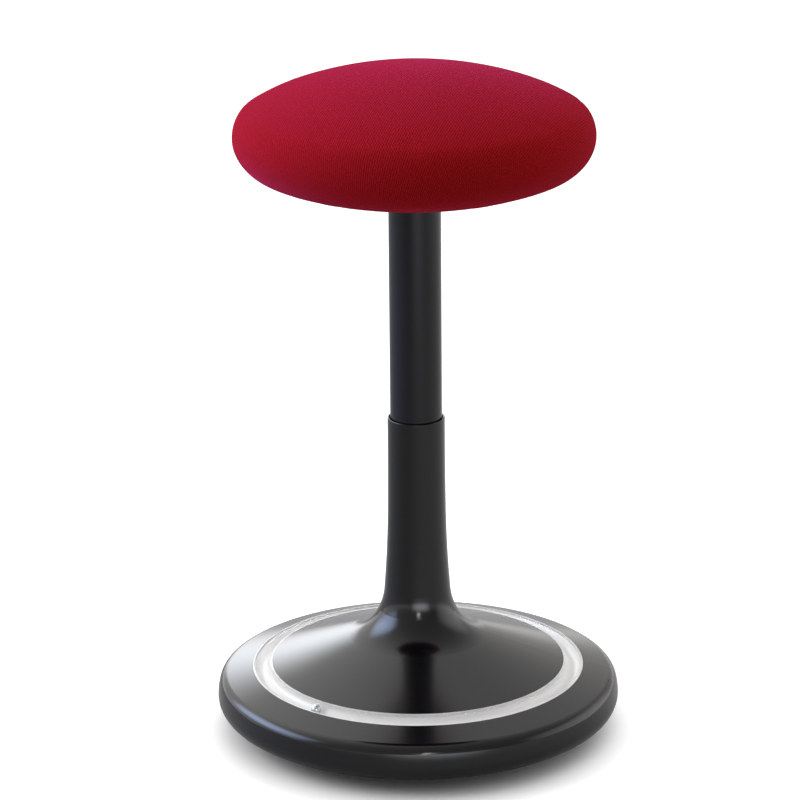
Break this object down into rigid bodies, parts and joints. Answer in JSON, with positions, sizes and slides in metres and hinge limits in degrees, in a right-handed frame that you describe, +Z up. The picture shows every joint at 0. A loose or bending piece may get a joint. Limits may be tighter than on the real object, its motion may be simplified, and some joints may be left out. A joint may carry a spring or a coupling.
{
  "type": "wobble stool",
  "caption": "Round stool with a domed fabric cushion on a telescoping column, standing in a weighted rocking base with a clear-covered ball track and a release lever under the seat.",
  "frame": {"origin": "centre of the flat patch under the rocking sole, on the floor and on the column's axis", "axes": "+Z up along the column, -Y the front as pictured, +X to the picture's right"},
  "size_m": [0.3928, 0.3928, 0.656],
  "materials": {
    "sole_rubber": "matt black rubber, slightly worn",
    "buffer_rubber": "matt black rubber",
    "pan_steel": "zinc plated pressed steel",
    "hub_steel": "zinc plated, machined on the bore",
    "screw_steel": "zinc plated",
    "ballast_iron": "grey cast iron with a dark primer",
    "base_gloss": "deep gloss black",
    "track_white": "white, smooth",
    "track_clear": "clear, polished",
    "ball_chrome": "mirror polish",
    "guide_plastic": "natural ivory, slippery",
    "washer_steel": "ground and hardened",
    "rod_chrome": "hard chrome",
    "clip_steel": "black spring steel",
    "piston_alloy": "turned",
    "seal_rubber": "black",
    "column_paint": "satin anthracite powder coat",
    "cylinder_paint": "semi-gloss black",
    "hub_alloy": "die cast, lightly blasted",
    "board_wood": "plywood, bare",
    "foam": "open-cell foam, matt",
    "seat_fabric": "crimson fine twill",
    "under_plastic": "fine-grained black",
    "paddle_plastic": "smooth black"
  },
  "bodies": {
    "base": {"rocker_sole": "sole_rubber", "base_pan": "pan_steel", "rim_shell": "base_gloss", "rim_screws": "screw_steel", "trumpet_shell": "base_gloss", "trumpet_screws": "screw_steel", "track_channel": "track_white", "track_cover": "track_clear", "upper_guide_bush": "guide_plastic", "lower_guide_bush": "guide_plastic", "ballast_ring": "ballast_iron", "ballast_screws": "screw_steel", "bearing_hub": "hub_steel", "bearing_hub_screws": "screw_steel", "rubber_buffer": "buffer_rubber", "lower_thrust_washer": "washer_steel", "bearing_cage": "guide_plastic", "bearing_balls": "ball_chrome"},
    "spindle": {"upper_thrust_washer": "washer_steel", "piston_rod": "rod_chrome", "piston": "piston_alloy", "rod_washer": "washer_steel", "rod_clip": "clip_steel"},
    "seat": {"column_tube": "column_paint", "cylinder_bush": "guide_plastic", "gas_cylinder": "cylinder_paint", "rod_seal": "seal_rubber", "seat_hub": "hub_alloy", "seat_screws": "screw_steel", "tee_nuts": "screw_steel", "seat_board": "board_wood", "seat_foam": "foam", "seat_cover": "seat_fabric", "underside_cover": "under_plastic", "cover_screws": "screw_steel", "lever_pin": "screw_steel"},
    "lever": {"lever_rod": "screw_steel", "lever_paddle": "paddle_plastic"},
    "valve": {"valve_pin": "screw_steel"},
    "ball": {"track_ball": "ball_chrome"}
  },
  "joints": [
    {"name": "swivel", "type": "hinge", "parent": "base", "child": "spindle", "pos_m": [0, 0, 0], "axis": [0, 0, 1], "continuous": true},
    {"name": "height", "type": "slide", "parent": "spindle", "child": "seat", "axis": [0, 0, 1], "range_m": [-0.2, 0]},
    {"name": "release_lever", "type": "hinge", "parent": "seat", "child": "lever", "pos_m": [0.02649, 0.01408, 0.546], "axis": [0.4695, -0.8829, 0], "range_deg": [0, 4], "stiffness_Nm_per_rad": 1.5},
    {"name": "valve_press", "type": "slide", "parent": "seat", "child": "valve", "axis": [0, 0, -1], "range_m": [0, 0.0022]},
    {"name": "ball_roll", "type": "hinge", "parent": "base", "child": "ball", "pos_m": [0, 0, 0], "axis": [0, 0, 1], "continuous": true}
  ],
  "couplings": [
    {"joint": "valve_press", "follows": "release_lever", "m_per_rad": 0.03}
  ]
}
